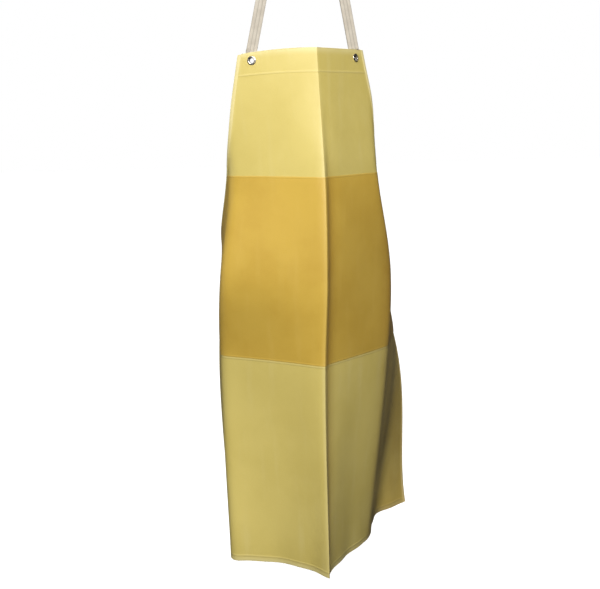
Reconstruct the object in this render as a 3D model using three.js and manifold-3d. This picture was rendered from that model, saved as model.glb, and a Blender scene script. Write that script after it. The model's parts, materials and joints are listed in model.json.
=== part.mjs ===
// Butcher apron: one coated-fabric sheet worn round the body, with a belly patch, welded hems,
// metal eyelets and a webbing neck strap with a slide adjuster. Units are millimetres, +Z is up.
// The front faces -Y, and "left" is the -X side. The origin is where the back of the neck strap
// rests on the wearer's neck, so the whole apron hangs below it.
import * as THREE from "three";
import { mergeVertices } from "three/addons/utils/BufferGeometryUtils.js";
import Module from "manifold-3d";

// ---- Driving dimensions: the cut sheet ----
const APRON_LENGTH = 1200; // top edge to bottom hem, along the centre crease
const BIB_HALF_WIDTH = 178; // top edge, crease to corner
const WAIST_HALF_WIDTH = 490; // at the waist corners
const SKIRT_HALF_WIDTH = 540; // at the bottom hem
const WAIST_DEPTH = 500; // waist corners, below the top edge
const PATCH_TOP = 278; // belly patch, below the top edge
const PATCH_HEIGHT = 425;
const TOP_HEM = 50; // depth of the facing behind the top edge
const BOTTOM_HEM = 12;
const BINDING_WIDTH = 8;
const WAIST_PATCH_WIDTH = 55;
const WAIST_PATCH_HEIGHT = 60;

// ---- Driving dimensions: thicknesses and clearances ----
const SHEET_THICKNESS = 1.0;
const LAYER_THICKNESS = 0.6; // patch, facings, hem tapes and bindings
const LAYER_GAP = 0.3; // left between any two layers
const BINDING_WEB = 0.7; // the part of a binding that closes over the sheet's edge
const WEBBING_WIDTH = 25;
const WEBBING_THICKNESS = 1.6;

// ---- Driving dimensions: eyelets ----
const EYELET_BORE_R = 5.5;
const BARREL_WALL = 0.7;
const FLANGE_R = 10;
const FLANGE_DOME = 1.1;
const FLANGE_SLOPE = 1.5; // the rim slopes down over this width
const WASHER_R = 10.5;
const WASHER_THICKNESS = 0.8;
const ROLL_R = 8.2;
const ROLL_THICKNESS = 0.8;
const BORE_BEVEL = 0.66; // the flange rolls into the bore over this depth
const ROLL_BEVEL = 0.4;
const FRAME_REACH = 8; // an eyelet sits square to the sheet within this distance of its centre
const HOLE_CLEARANCE = 0.3;
const EYELET_FROM_EDGE = 30;
const EYELET_FROM_CREASE = BIB_HALF_WIDTH - EYELET_FROM_EDGE;
const EYELET_FROM_TOP = 18;
const WAIST_EYELET_FROM_EDGE = 32;
const WAIST_EYELET_DEPTH = 530; // below the top edge
const BIB_SEAT_GAP = 0.3; // flange and washer off the layers they clamp
const WAIST_SEAT_GAP = 1.3; // larger, because the sheet is curved at the waist corners
const ROUND_STEPS = 24;

// ---- Driving dimensions: neck strap and adjuster ----
const NECK_TO_BIB_TOP = 255; // the back of the neck above the top edge
const NECK_DEPTH = 138; // strap plane to the back of the neck
const STRAP_LEAN = THREE.MathUtils.degToRad(12); // the two rising runs lean in towards the neck
const STRAP_STRAIGHT = 212; // height of the straight rising runs
const STRAP_BEND_GAP = 7; // bare webbing at the top edge, where the strap bends
const TAIL_TOP = 188; // the doubled-back end reaches this far above the top edge
const TAB_BELOW = 26; // strap tab below and above its eyelet's centre
const TAB_FOLD_GAP = 0.4;
const SLIDER_HEIGHT = 150; // slider centre above the top edge
const SLIDER_LENGTH = 20;
const SLIDER_BAR = 2.6;
const SLIDER_DEPTH = 2.0;
const SLIDER_CLEARANCE = 0.5;

// ---- The hang of the sheet ----
// Plan sections are taken at these depths below the top edge. Each runs from the crease as a
// front panel, a side bend, a side panel and a rear panel. Headings are degrees from +-X to +Y.
const DEPTHS = [0, 290, 515, 703, APRON_LENGTH];
const CREASE_Y = [46, 3, -7, 4, -23];
const HANG = {
  left: {
    sign: -1,
    front: [32, 43, 39, 47, 48],
    frontLength: [206, 204, 228, 244, 239],
    side: [100, 95, 110, 107, 108],
    sideLength: [133, 133, 133, 133, 163],
    rear: [130, 130, 130, 108, 105],
    flare: [0, 0, 0, 3, 29],
    cornerLift: -15,
  },
  right: {
    sign: 1,
    front: [32, 31, 33, 31, 44],
    frontLength: [193, 191, 257, 241, 223],
    side: [90, 82, 77, 59, 60],
    sideLength: [113, 113, 115, 111, 99],
    rear: [125, 130, 132, 71, 21],
    flare: [0, 0, 0, 0, 11],
    cornerLift: 1,
  },
};
const SIDE_BEND = 44; // arc length of the bend from front panel to side panel
const REAR_BEND = 100;
const CORNER_LIFT_FADE = 120; // the lifted or dropped top corner evens out over this depth

// The cut edge: half width of the sheet at each depth, an armhole curve and then a straight side.
const EDGE_DEPTHS = [0, 90, 240, 380, 460, WAIST_DEPTH, APRON_LENGTH];
const EDGE_HALF_WIDTHS = [
  BIB_HALF_WIDTH,
  BIB_HALF_WIDTH + 22,
  BIB_HALF_WIDTH + 64,
  BIB_HALF_WIDTH + 150,
  BIB_HALF_WIDTH + 250,
  WAIST_HALF_WIDTH,
  SKIRT_HALF_WIDTH,
];

// Rows and columns shared by every layer, so that layers stay parallel.
const ROW_STEP = 45;
const ARC_STEP = 2.5; // a plan section is followed in steps no longer than this
const MERGE_DISTANCE = 1e-4; // corners nearer than this are one
const COLUMNS = [0, 0.11, 0.23, 0.34, 0.42, 0.48, 0.54, 0.6, 0.66, 0.74, 0.83, 0.92, 1];

const wasm = await Module();
wasm.setup();

const ORIGIN_SHIFT_Z = -NECK_TO_BIB_TOP;

// ---- Curve helpers ----

// A smooth curve through (xs, ys), with each inner slope the mean of its neighbours' slopes.
function through(xs, ys, x) {
  const last = xs.length - 2;
  let k = 0;
  while (k < last && x > xs[k + 1]) k += 1;
  const chord = (i) => (ys[i + 1] - ys[i]) / (xs[i + 1] - xs[i]);
  const slope = (i) => {
    if (i === 0) return chord(0);
    if (i > last) return chord(last);
    return (chord(i - 1) + chord(i)) / 2;
  };
  const h = xs[k + 1] - xs[k];
  const u = (x - xs[k]) / h;
  const start = ys[k] * (1 + 2 * u) * (1 - u) ** 2 + slope(k) * h * u * (1 - u) ** 2;
  return start + ys[k + 1] * u * u * (3 - 2 * u) + slope(k + 1) * h * u * u * (u - 1);
}

// Straight segments through (xs, ys).
function straightThrough(xs, ys, x) {
  let k = 0;
  while (k < xs.length - 2 && x > xs[k + 1]) k += 1;
  return ys[k] + ((ys[k + 1] - ys[k]) * (x - xs[k])) / (xs[k + 1] - xs[k]);
}

function edgeHalfWidth(depth) {
  if (depth >= WAIST_DEPTH) return straightThrough(EDGE_DEPTHS, EDGE_HALF_WIDTHS, depth);
  return through(EDGE_DEPTHS.slice(0, -1), EDGE_HALF_WIDTHS.slice(0, -1), depth);
}

// ---- The hanging surface ----

function heading(hang, depth, s) {
  const at = (values) => through(DEPTHS, values, depth);
  const length = at(hang.frontLength);
  const flare = at(hang.flare) * (1 - 2 * Math.min(s / length, 1));
  const front = at(hang.front) + flare;
  const toSide = THREE.MathUtils.smoothstep(s, length, length + SIDE_BEND);
  const side = front + (at(hang.side) - front) * toSide;
  const rearStart = length + SIDE_BEND + at(hang.sideLength);
  const toRear = THREE.MathUtils.smoothstep(s, rearStart, rearStart + REAR_BEND);
  return THREE.MathUtils.degToRad(side + (at(hang.rear) - at(hang.side)) * toRear);
}

// Points of one plan section, from the crease to the distances asked for, with outward normals.
function planSection(hang, depth, distances) {
  const points = [];
  let s = 0;
  let x = 0;
  let y = through(DEPTHS, CREASE_Y, depth);
  for (const target of distances) {
    const count = Math.max(1, Math.ceil((target - s) / ARC_STEP));
    const ds = (target - s) / count;
    for (let i = 0; i < count; i += 1) {
      const a = heading(hang, depth, s + ds / 2);
      x += hang.sign * Math.cos(a) * ds;
      y += Math.sin(a) * ds;
      s += ds;
    }
    const a = heading(hang, depth, target);
    const across = (target / BIB_HALF_WIDTH) ** 2;
    const lift = hang.cornerLift * across * Math.exp(-depth / CORNER_LIFT_FADE);
    const point = new THREE.Vector3(x, y, -depth + lift);
    const normal = new THREE.Vector3(hang.sign * Math.sin(a), -Math.cos(a), 0);
    points.push({ point, normal });
  }
  return points;
}

// Depths of the shared rows: every border and eyelet line, and even steps between them.
const PATCH_BOTTOM = PATCH_TOP + PATCH_HEIGHT;
const BORDER_ROWS = [
  0,
  TOP_HEM,
  PATCH_TOP,
  WAIST_DEPTH,
  WAIST_DEPTH + WAIST_PATCH_HEIGHT,
  PATCH_BOTTOM,
  APRON_LENGTH - BOTTOM_HEM,
  APRON_LENGTH,
];
const ROWS = BORDER_ROWS.slice(0, 1);
for (let i = 1; i < BORDER_ROWS.length; i += 1) {
  const from = BORDER_ROWS[i - 1];
  const span = BORDER_ROWS[i] - from;
  const count = Math.ceil(span / ROW_STEP);
  for (let j = 1; j <= count; j += 1) ROWS.push(from + (span * j) / count);
}

// The rear of the wearer's neck is the origin, so the plan sections are moved back and down.
const strapAnchorDrop = 0.5 * SHEET_THICKNESS + 2 * LAYER_GAP + LAYER_THICKNESS;
const STRAP_LAYERS = 2 * WEBBING_THICKNESS + TAB_FOLD_GAP;
const STRAP_BEHIND = strapAnchorDrop + STRAP_LAYERS / 2;
const topSection = planSection(HANG.right, 0, [EYELET_FROM_CREASE])[0];
const STRAP_PLANE_Y = topSection.point.y - topSection.normal.y * STRAP_BEHIND;
const ORIGIN_SHIFT_Y = -STRAP_PLANE_Y - NECK_DEPTH + WEBBING_THICKNESS / 2;

// Distances of the shared columns: even shares of the open panel, then the lines of the waist
// patch, the other layers' ends, the binding, the sheet's edge and the binding's edge.
const INSIDE_BINDING = BINDING_WIDTH + LAYER_GAP + LAYER_THICKNESS;
const SHEET_INSET = BINDING_WEB + LAYER_GAP;
const EDGE_INSETS = [
  INSIDE_BINDING + WAIST_PATCH_WIDTH / 2,
  INSIDE_BINDING,
  BINDING_WIDTH,
  SHEET_INSET,
  BINDING_WEB,
  0,
];
const LAYER_END = COLUMNS.length + 1; // the column where the patch and the facings end
const BINDING_START = COLUMNS.length + 2;
const SHEET_END = COLUMNS.length + 3; // the column where the sheet ends
const WEB_START = COLUMNS.length + 4;
const OUTER_EDGE = COLUMNS.length + 5;

function columnDistances(width) {
  const open = width - INSIDE_BINDING - WAIST_PATCH_WIDTH;
  return [...COLUMNS.map((u) => u * open), ...EDGE_INSETS.map((inset) => width - inset)];
}

// Grid nodes for each side: grid[side][row][column] = { s, point, normal }.
function makeGrid(hang) {
  return ROWS.map((depth) => {
    const distances = columnDistances(edgeHalfWidth(depth));
    return planSection(hang, depth, distances).map(({ point, normal }, i) => {
      point.y += ORIGIN_SHIFT_Y;
      point.z += ORIGIN_SHIFT_Z;
      return { s: distances[i], point, normal };
    });
  });
}
const GRID = { left: makeGrid(HANG.left), right: makeGrid(HANG.right) };

// The crease row shares one normal, so both halves meet along one line.
for (let r = 0; r < ROWS.length; r += 1) {
  const straight = new THREE.Vector3(0, -1, 0);
  const half = GRID.right[r][0].normal.dot(straight) + GRID.left[r][0].normal.dot(straight);
  straight.multiplyScalar(2 / half);
  GRID.left[r][0].normal = straight;
  GRID.right[r][0].normal = straight;
}

// A point on row r, s from the crease, n outwards from the middle of the sheet.
function onRow(side, r, s, n) {
  const row = GRID[side][r];
  let k = 0;
  while (k < row.length - 2 && s > row[k + 1].s) k += 1;
  const u = (s - row[k].s) / (row[k + 1].s - row[k].s);
  const point = row[k].point.clone().lerp(row[k + 1].point, u);
  const normal = row[k].normal.clone().lerp(row[k + 1].normal, u);
  return point.addScaledVector(normal, n);
}

// The same at any depth, between rows.
function onSheet(side, depth, s, n) {
  let r = 0;
  while (r < ROWS.length - 2 && depth > ROWS[r + 1]) r += 1;
  const u = (depth - ROWS[r]) / (ROWS[r + 1] - ROWS[r]);
  return onRow(side, r, s, n).lerp(onRow(side, r + 1, s, n), u);
}

// ---- Mesh helpers ----

function geometryOf(vertices, triangles) {
  const positions = vertices.flatMap((v) => [v.x, v.y, v.z]);
  const geometry = new THREE.BufferGeometry();
  geometry.setAttribute("position", new THREE.Float32BufferAttribute(positions, 3));
  geometry.setIndex(triangles);
  return geometry;
}

// A closed solid swept through equal rings of points, with both ends capped. Each quad is split
// along its first-to-third diagonal, or the other one where turned says so for its ring side.
function sweep(rings, turned = []) {
  const size = rings[0].length;
  const triangles = [];
  for (let r = 0; r + 1 < rings.length; r += 1) {
    for (let i = 0; i < size; i += 1) {
      const a = r * size + i;
      const b = r * size + ((i + 1) % size);
      if (turned[i]) triangles.push(a, b, a + size, b, b + size, a + size);
      else triangles.push(a, b, b + size, a, b + size, a + size);
    }
  }
  const cap = THREE.ShapeUtils.triangulateShape(flatten(rings[0]), []);
  const lastStart = (rings.length - 1) * size;
  for (const [a, b, c] of cap) {
    triangles.push(a, c, b);
    triangles.push(lastStart + a, lastStart + b, lastStart + c);
  }
  return outward(geometryOf(rings.flat(), triangles));
}

// Ring points seen in the ring's own plane, for triangulating a cap.
function flatten(ring) {
  const centre = ring.reduce((sum, p) => sum.add(p), new THREE.Vector3());
  centre.divideScalar(ring.length);
  const arms = ring.map((p) => p.clone().sub(centre));
  const normal = new THREE.Vector3();
  arms.forEach((arm, i) => {
    normal.add(arm.clone().cross(arms[(i + 1) % arms.length]));
  });
  normal.normalize();
  const u = ring[1].clone().sub(ring[0]).normalize();
  const v = new THREE.Vector3().crossVectors(normal, u);
  return arms.map((arm) => new THREE.Vector2(arm.dot(u), arm.dot(v)));
}

function toManifold(geometry) {
  const bare = geometry.clone();
  bare.deleteAttribute("normal");
  bare.deleteAttribute("uv");
  const merged = mergeVertices(bare, MERGE_DISTANCE);
  const vertProperties = merged.attributes.position.array;
  const triVerts = new Uint32Array(merged.index.array);
  return new wasm.Manifold(new wasm.Mesh({ numProp: 3, vertProperties, triVerts }));
}

function fromManifold(solid) {
  const mesh = solid.getMesh();
  const geometry = new THREE.BufferGeometry();
  const positions = new Float32Array(mesh.vertProperties);
  geometry.setAttribute("position", new THREE.BufferAttribute(positions, 3));
  geometry.setIndex(new THREE.BufferAttribute(new Uint32Array(mesh.triVerts), 1));
  return geometry;
}

// Turns a solid's faces round if they point in.
function outward(geometry) {
  if (toManifold(geometry).volume() > 0) return geometry;
  const index = geometry.index.array;
  for (let i = 0; i < index.length; i += 3) [index[i], index[i + 1]] = [index[i + 1], index[i]];
  return geometry;
}

function subtract(geometry, cutters) {
  const cut = (solid, cutter) => solid.subtract(toManifold(cutter));
  return fromManifold(cutters.reduce(cut, toManifold(geometry)));
}

function union(geometries) {
  const [first, ...rest] = geometries.map(toManifold);
  return fromManifold(rest.reduce((solid, next) => solid.add(next), first));
}

// ---- Layers of the sheet ----

// Distances of the columns of row r, from the first to the last asked for.
function distancesOn(side, r, first, last) {
  return GRID[side][r].slice(first, last + 1).map(({ s }) => s);
}

// A full-width layer between two rows and out to a column, from n0 to n1 off the middle surface.
function fullWidthLayer(firstRow, lastRow, lastColumn, n0, n1) {
  const rings = [];
  for (let r = firstRow; r <= lastRow; r += 1) {
    const left = distancesOn("left", r, 1, lastColumn).reverse();
    const right = distancesOn("right", r, 0, lastColumn);
    const across = (n) => [
      ...left.map((s) => onRow("left", r, s, n)),
      ...right.map((s) => onRow("right", r, s, n)),
    ];
    rings.push({ inner: across(n0), outer: across(n1) });
  }
  return slab(rings);
}

// A closed slab from rows of inner and outer points.
function slab(rows) {
  const width = rows[0].inner.length;
  const vertices = rows.flatMap(({ inner, outer }) => [...inner, ...outer]);
  const at = (r, i, outer) => r * 2 * width + (outer ? width : 0) + i;
  const triangles = [];
  const quad = (a, b, c, d) => triangles.push(a, b, c, a, c, d);
  for (let r = 0; r + 1 < rows.length; r += 1) {
    const s = r + 1;
    for (let i = 0; i + 1 < width; i += 1) {
      quad(at(r, i, true), at(s, i, true), at(s, i + 1, true), at(r, i + 1, true));
      quad(at(r, i, false), at(r, i + 1, false), at(s, i + 1, false), at(s, i, false));
    }
    const end = width - 1;
    quad(at(r, 0, false), at(s, 0, false), at(s, 0, true), at(r, 0, true));
    quad(at(r, end, true), at(s, end, true), at(s, end, false), at(r, end, false));
  }
  const bottom = rows.length - 1;
  for (let i = 0; i + 1 < width; i += 1) {
    quad(at(0, i, false), at(0, i, true), at(0, i + 1, true), at(0, i + 1, false));
    const j = i + 1;
    quad(at(bottom, i, false), at(bottom, j, false), at(bottom, j, true), at(bottom, i, true));
  }
  return outward(geometryOf(vertices, triangles));
}

const rowAt = (depth) => ROWS.findIndex((d) => Math.abs(d - depth) < 1e-6);
const LAST_ROW = ROWS.length - 1;
const HALF_SHEET = SHEET_THICKNESS / 2;
const LAYER_FROM = HALF_SHEET + LAYER_GAP;
const LAYER_TO = LAYER_FROM + LAYER_THICKNESS;

// A strip between two rows and two columns of one side, from n0 to n1 off the middle surface.
function sideStrip(side, firstRow, lastRow, firstColumn, lastColumn, n0, n1) {
  const rows = [];
  for (let r = firstRow; r <= lastRow; r += 1) {
    const across = distancesOn(side, r, firstColumn, lastColumn);
    if (side === "left") across.reverse();
    rows.push({
      inner: across.map((s) => onRow(side, r, s, n0)),
      outer: across.map((s) => onRow(side, r, s, n1)),
    });
  }
  return slab(rows);
}

// The binding's section as columns and offsets: out along its outer arm, round the edge, back
// along its inner arm, and round the pocket that holds the sheet.
const BINDING_SECTION = [
  [BINDING_START, LAYER_FROM],
  [BINDING_START, LAYER_TO],
  [SHEET_END, LAYER_TO],
  [WEB_START, LAYER_TO],
  [OUTER_EDGE, LAYER_TO],
  [OUTER_EDGE, -LAYER_TO],
  [WEB_START, -LAYER_TO],
  [SHEET_END, -LAYER_TO],
  [BINDING_START, -LAYER_TO],
  [BINDING_START, -LAYER_FROM],
  [SHEET_END, -LAYER_FROM],
  [WEB_START, -LAYER_FROM],
  [WEB_START, LAYER_FROM],
  [SHEET_END, LAYER_FROM],
];

// A folded binding that closes over one side edge from top to bottom.
function edgeBinding(side) {
  const corner = (r) => ([column, n]) => onRow(side, r, GRID[side][r][column].s, n);
  const rings = ROWS.map((depth, r) => BINDING_SECTION.map(corner(r)));
  const turned = BINDING_SECTION.map(([column], i) => {
    const [next] = BINDING_SECTION[(i + 1) % BINDING_SECTION.length];
    return side === "left" ? next > column : next < column;
  });
  return sweep(rings, turned);
}

// A rectangle on the inside of one waist corner.
function waistPatch(side) {
  const top = rowAt(WAIST_DEPTH);
  const bottom = rowAt(WAIST_DEPTH + WAIST_PATCH_HEIGHT);
  return sideStrip(side, top, bottom, COLUMNS.length - 1, LAYER_END, -LAYER_TO, -LAYER_FROM);
}

// ---- Eyelets ----

// The frame of the sheet at an eyelet: X along the row away from the crease on the right side
// and towards it on the left, Y outwards, Z up along the hang.
function eyeletFrame(side, depth, s) {
  const centre = onSheet(side, depth, s, 0);
  const along = onSheet(side, depth, s + FRAME_REACH, 0);
  along.sub(onSheet(side, depth, s - FRAME_REACH, 0)).normalize();
  if (side === "left") along.negate();
  const up = onSheet(side, depth - FRAME_REACH, s, 0);
  up.sub(onSheet(side, depth + FRAME_REACH, s, 0)).normalize();
  const out = new THREE.Vector3().crossVectors(along, up).normalize();
  up.crossVectors(out, along);
  return new THREE.Matrix4().makeBasis(along, out.negate(), up).setPosition(centre);
}

// makeBasis needs a right-handed set: along, inwards, up. Profiles below use n outwards = -Y.
function latheOnY(profile) {
  const points = profile.map(([r, n]) => new THREE.Vector2(r, -n));
  points.push(points[0].clone());
  return outward(new THREE.LatheGeometry(points, ROUND_STEPS));
}

// Eyelet: domed front flange, barrel through the layers, and the rolled end that holds the washer.
// The flange sits at seat, outwards of the sheet's middle, and the washer ends at stackDepth inwards.
function eyelet(stackDepth, seat) {
  const barrelR = EYELET_BORE_R + BARREL_WALL;
  const rollTop = -(stackDepth + LAYER_GAP);
  return latheOnY([
    [EYELET_BORE_R, seat + FLANGE_DOME - BORE_BEVEL],
    [barrelR, seat + FLANGE_DOME],
    [FLANGE_R - FLANGE_SLOPE, seat + FLANGE_DOME],
    [FLANGE_R, seat],
    [barrelR, seat],
    [barrelR, rollTop],
    [ROLL_R, rollTop],
    [ROLL_R - ROLL_BEVEL, rollTop - ROLL_THICKNESS],
    [EYELET_BORE_R, rollTop - ROLL_THICKNESS],
  ]);
}

function washer(stackDepth) {
  const inner = EYELET_BORE_R + BARREL_WALL + HOLE_CLEARANCE;
  const top = -(stackDepth - WASHER_THICKNESS);
  return latheOnY([
    [inner, top],
    [WASHER_R, top],
    [WASHER_R, -stackDepth],
    [inner, -stackDepth],
  ]);
}

function holeCutter(frame, depth) {
  const radius = EYELET_BORE_R + BARREL_WALL + HOLE_CLEARANCE;
  return new THREE.CylinderGeometry(radius, radius, 2 * depth, ROUND_STEPS).applyMatrix4(frame);
}

// ---- Webbing ----

// A strap tab: webbing folded double behind the top hem, with its fold at the bottom on the left
// and as a loop at the top on the right.
function strapTab(foldAtTop) {
  const outer = -strapAnchorDrop;
  const inner = outer - STRAP_LAYERS;
  const top = EYELET_FROM_TOP;
  const bottom = -TAB_BELOW;
  const shape = new THREE.Shape();
  const fold = foldAtTop ? top : bottom;
  const open = foldAtTop ? bottom : top;
  const web = foldAtTop ? top - WEBBING_THICKNESS : bottom + WEBBING_THICKNESS;
  shape.moveTo(outer, open);
  shape.lineTo(outer, fold);
  shape.lineTo(inner, fold);
  shape.lineTo(inner, open);
  shape.lineTo(inner + WEBBING_THICKNESS, open);
  shape.lineTo(inner + WEBBING_THICKNESS, web);
  shape.lineTo(outer - WEBBING_THICKNESS, web);
  shape.lineTo(outer - WEBBING_THICKNESS, open);
  shape.closePath();
  const solid = new THREE.ExtrudeGeometry(shape, { depth: WEBBING_WIDTH, bevelEnabled: false });
  solid.translate(0, 0, -WEBBING_WIDTH / 2);
  // Shape x is n outwards and shape y is up: turned so that n becomes -Y, up Z and width X.
  const turn = new THREE.Matrix4().makeBasis(
    new THREE.Vector3(0, -1, 0),
    new THREE.Vector3(0, 0, 1),
    new THREE.Vector3(-1, 0, 0),
  );
  return solid.applyMatrix4(turn);
}

// A flat ribbon along a smooth curve. Its flat side faces the given normals.
function ribbon(points, normals, steps, offset) {
  const curve = new THREE.CatmullRomCurve3(points, false, "centripetal");
  const facing = new THREE.CatmullRomCurve3(normals, false, "centripetal");
  const rings = [];
  for (let i = 0; i <= steps; i += 1) {
    const t = i / steps;
    const tangent = curve.getTangent(t);
    const normal = facing.getPoint(t);
    normal.addScaledVector(tangent, -normal.dot(tangent)).normalize();
    const across = new THREE.Vector3().crossVectors(tangent, normal);
    const centre = curve.getPoint(t).addScaledVector(normal, offset);
    const corner = (a, n) => {
      const edge = centre.clone().addScaledVector(across, (a * WEBBING_WIDTH) / 2);
      return edge.addScaledVector(normal, (n * WEBBING_THICKNESS) / 2);
    };
    rings.push([corner(-1, -1), corner(1, -1), corner(1, 1), corner(-1, 1)]);
  }
  return sweep(rings);
}

// Where a strap leaves the top edge, on the middle of its webbing.
function strapRoot(side) {
  const n = -STRAP_BEHIND;
  return onSheet(side, 0, EYELET_FROM_CREASE, n);
}

// A point on a rising run, a height above the strap's root.
function onRise(side, height) {
  const root = strapRoot(side);
  const inwards = -Math.sign(root.x);
  return new THREE.Vector3(root.x + inwards * height * Math.tan(STRAP_LEAN), root.y, root.z + height);
}

// The loop behind the neck, on the right side, from the top of the rise to the middle of the back.
// Each line is a point (x, y behind the strap plane, z from the top of the straight run) and the
// way the webbing's outer face looks there.
const NECK_LOOP = [
  { at: [73, 9, 22], faces: [0.15, -0.85, 0.5] },
  { at: [71, 30, 36], faces: [0.45, -0.35, 0.8] },
  { at: [69, 64, 43], faces: [0.86, 0.05, 0.5] },
  { at: [57, 101, 43], faces: [0.85, 0.45, 0.3] },
  { at: [31, 128, 43], faces: [0.5, 0.85, 0.12] },
];

// Heights above the top edge of the points that keep each rising run straight.
const RISE_HEIGHTS = [
  STRAP_BEND_GAP,
  STRAP_STRAIGHT / 3,
  (2 * STRAP_STRAIGHT) / 3,
  STRAP_STRAIGHT - 30,
  STRAP_STRAIGHT - 8,
];
const STRAP_STEPS = 72;
const TAIL_STEPS = 4;

function neckStrap() {
  const points = [];
  const normals = [];
  const front = [0, -1, 0];
  const rise = (side, heights) =>
    heights.forEach((h) => {
      points.push(onRise(side, h));
      normals.push(new THREE.Vector3(...front));
    });
  const loop = (sign, lines) =>
    lines.forEach(({ at, faces }) => {
      const base = onRise("right", STRAP_STRAIGHT);
      points.push(new THREE.Vector3(sign * at[0], base.y + at[1], base.z + at[2]));
      normals.push(new THREE.Vector3(sign * faces[0], faces[1], faces[2]));
    });
  rise("left", RISE_HEIGHTS);
  loop(-1, NECK_LOOP);
  points.push(new THREE.Vector3(0, WEBBING_THICKNESS / 2, 0));
  normals.push(new THREE.Vector3(0, 1, 0));
  loop(1, [...NECK_LOOP].reverse());
  rise("right", [...RISE_HEIGHTS].reverse());
  return ribbon(points, normals, STRAP_STEPS, 0);
}

// The strap's free end, doubled back up behind the right-hand run.
function strapTail() {
  const heights = [STRAP_BEND_GAP, TAIL_TOP / 3, (2 * TAIL_TOP) / 3, TAIL_TOP];
  const behind = -(WEBBING_THICKNESS + LAYER_GAP);
  return ribbon(
    heights.map((h) => onRise("right", h)),
    heights.map(() => new THREE.Vector3(0, -1, 0)),
    TAIL_STEPS,
    behind,
  );
}

// Three-bar slide: two bars in front of the webbing, one behind both layers, and two side rails.
function strapSlider() {
  const frontFace = WEBBING_THICKNESS / 2 + SLIDER_CLEARANCE;
  const backFace = -(1.5 * WEBBING_THICKNESS + LAYER_GAP + SLIDER_CLEARANCE);
  const slot = WEBBING_WIDTH + 2 * SLIDER_CLEARANCE;
  const railDepth = frontFace - backFace + 2 * SLIDER_DEPTH;
  const railMiddle = (frontFace + backFace) / 2;
  const box = (w, n, h, x, y, z) => new THREE.BoxGeometry(w, n, h).translate(x, y, z);
  const barWidth = slot + 2 * SLIDER_BAR;
  const barHeight = (SLIDER_LENGTH - SLIDER_BAR) / 2;
  const frontBar = frontFace + SLIDER_DEPTH / 2;
  const backBar = backFace - SLIDER_DEPTH / 2;
  const railX = (slot + SLIDER_BAR) / 2;
  const pieces = [box(barWidth, SLIDER_DEPTH, SLIDER_BAR, 0, -backBar, 0)];
  for (const end of [-1, 1]) {
    pieces.push(box(barWidth, SLIDER_DEPTH, SLIDER_BAR, 0, -frontBar, end * barHeight));
    pieces.push(box(SLIDER_BAR, railDepth, SLIDER_LENGTH, end * railX, -railMiddle, 0));
  }
  return union(pieces);
}

// ---- Materials ----

function material(color, roughness, metalness = 0) {
  return new THREE.MeshStandardMaterial({ color, roughness, metalness });
}
const SHEET_YELLOW = material(0xd9c572, 0.42);
const PATCH_OCHRE = material(0xd0a848, 0.4);
const BINDING_YELLOW = material(0xe6d78e, 0.45);
const NICKEL = material(0xb9b8b2, 0.25, 1);
const WEBBING = material(0xcfc5b2, 0.9);
const SLIDER_STEEL = material(0xa9a9a6, 0.3, 1);

// ---- Assembly ----

const apron = new THREE.Group();
apron.name = "butcher_apron";

function add(name, geometry, finish, frame) {
  const mesh = new THREE.Mesh(geometry, finish);
  mesh.name = name;
  if (frame) mesh.applyMatrix4(frame);
  apron.add(mesh);
}

const SIDES = ["left", "right"];
const TOP_STACK = strapAnchorDrop + STRAP_LAYERS + BIB_SEAT_GAP + WASHER_THICKNESS;
const WAIST_SEAT = LAYER_TO + WAIST_SEAT_GAP;
const WAIST_STACK = WAIST_SEAT + WASHER_THICKNESS;
const topFrames = {};
const waistFrames = {};
for (const side of SIDES) {
  topFrames[side] = eyeletFrame(side, EYELET_FROM_TOP, EYELET_FROM_CREASE);
  const fromCrease = edgeHalfWidth(WAIST_EYELET_DEPTH) - WAIST_EYELET_FROM_EDGE;
  waistFrames[side] = eyeletFrame(side, WAIST_EYELET_DEPTH, fromCrease);
}
const CUT_DEPTH = 2 * TOP_STACK;
const topHoles = SIDES.map((side) => holeCutter(topFrames[side], CUT_DEPTH));
const waistHoles = SIDES.map((side) => holeCutter(waistFrames[side], CUT_DEPTH));

const sheet = fullWidthLayer(0, LAST_ROW, SHEET_END, -HALF_SHEET, HALF_SHEET);
add("apron_sheet", subtract(sheet, [...topHoles, ...waistHoles]), SHEET_YELLOW);

const patchRows = [rowAt(PATCH_TOP), rowAt(PATCH_BOTTOM)];
const patch = fullWidthLayer(...patchRows, LAYER_END, LAYER_FROM, LAYER_TO);
add("belly_patch", subtract(patch, waistHoles), PATCH_OCHRE);

const facing = fullWidthLayer(0, rowAt(TOP_HEM), LAYER_END, -LAYER_TO, -LAYER_FROM);
add("top_facing", subtract(facing, topHoles), SHEET_YELLOW);

const hemTop = rowAt(APRON_LENGTH - BOTTOM_HEM);
const hem = fullWidthLayer(hemTop, LAST_ROW, LAYER_END, -LAYER_TO, -LAYER_FROM);
add("bottom_hem", hem, SHEET_YELLOW);

SIDES.forEach((side, i) => {
  add(`edge_binding_${side}`, edgeBinding(side), BINDING_YELLOW);
  add(`waist_patch_${side}`, subtract(waistPatch(side), [waistHoles[i]]), SHEET_YELLOW);
  add(`bib_eyelet_${side}`, eyelet(TOP_STACK, HALF_SHEET + BIB_SEAT_GAP), NICKEL, topFrames[side]);
  add(`bib_washer_${side}`, washer(TOP_STACK), NICKEL, topFrames[side]);
  add(`waist_eyelet_${side}`, eyelet(WAIST_STACK, WAIST_SEAT), NICKEL, waistFrames[side]);
  add(`waist_washer_${side}`, washer(WAIST_STACK), NICKEL, waistFrames[side]);
});

const straightHole = holeCutter(new THREE.Matrix4(), CUT_DEPTH);
add("strap_tab_left", subtract(strapTab(false), [straightHole]), WEBBING, topFrames.left);
add("strap_loop_right", subtract(strapTab(true), [straightHole]), WEBBING, topFrames.right);
add("neck_strap", neckStrap(), WEBBING);
add("strap_tail", strapTail(), WEBBING);

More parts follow.
